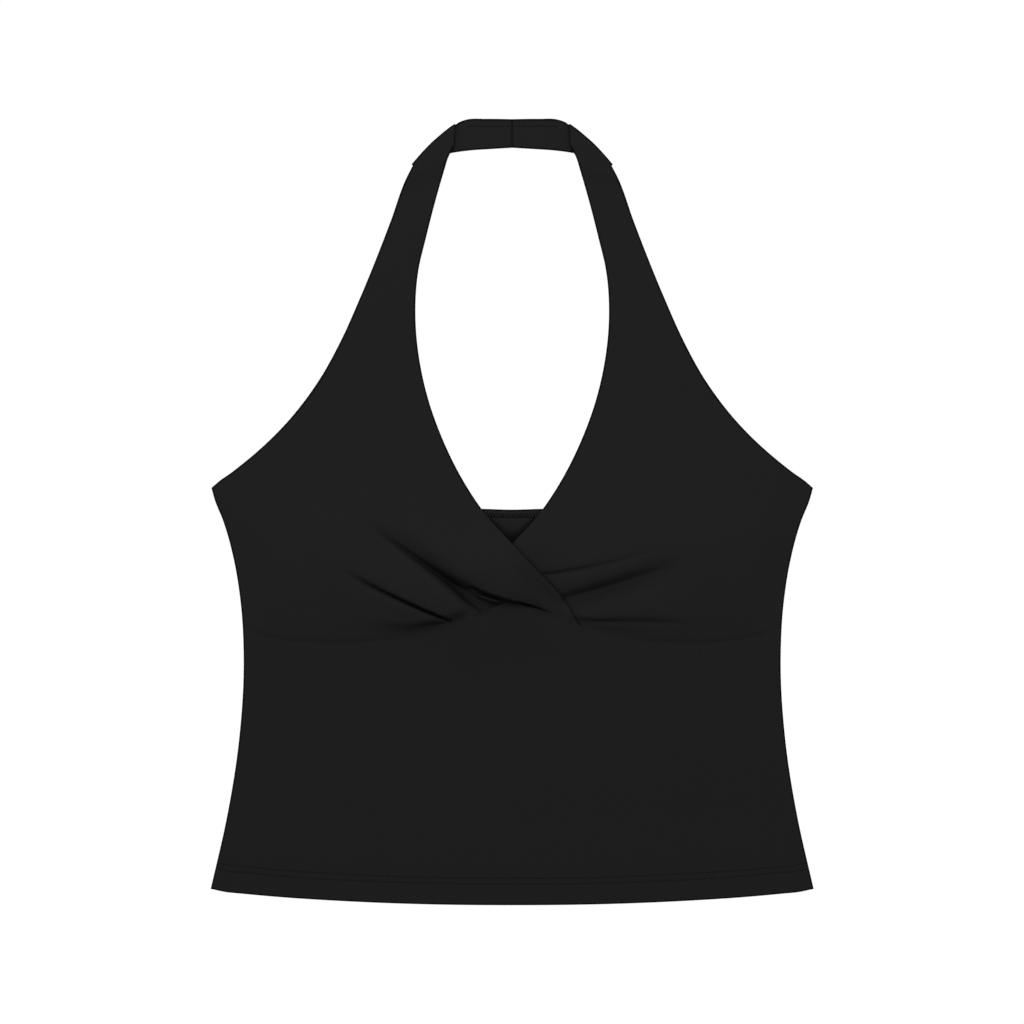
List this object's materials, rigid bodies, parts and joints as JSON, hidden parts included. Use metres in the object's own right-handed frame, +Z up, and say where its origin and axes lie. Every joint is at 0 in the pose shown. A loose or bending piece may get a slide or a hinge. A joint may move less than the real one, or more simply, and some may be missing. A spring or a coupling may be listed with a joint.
{
  "type": "halter neck top",
  "caption": "Cropped halter neck top in black stretch jersey, with crossed and gathered bust cups, laid flat and face up.",
  "frame": {"origin": "on the surface that the top lies on, under the middle of its outline", "axes": "+Z up out of that surface, +Y from the hem towards the neck band, +X to the right as the front is seen"},
  "size_m": [0.4, 0.5221, 0.0105],
  "materials": {
    "back_jersey": "matte black stretch jersey, inside face",
    "body_jersey": "matte black stretch jersey",
    "cup_jersey": "matte black stretch jersey"
  },
  "bodies": {
    "root": {"back_panel": "back_jersey", "front_body": "body_jersey", "cup_right": "cup_jersey", "cup_left": "cup_jersey"}
  },
  "joints": []
}
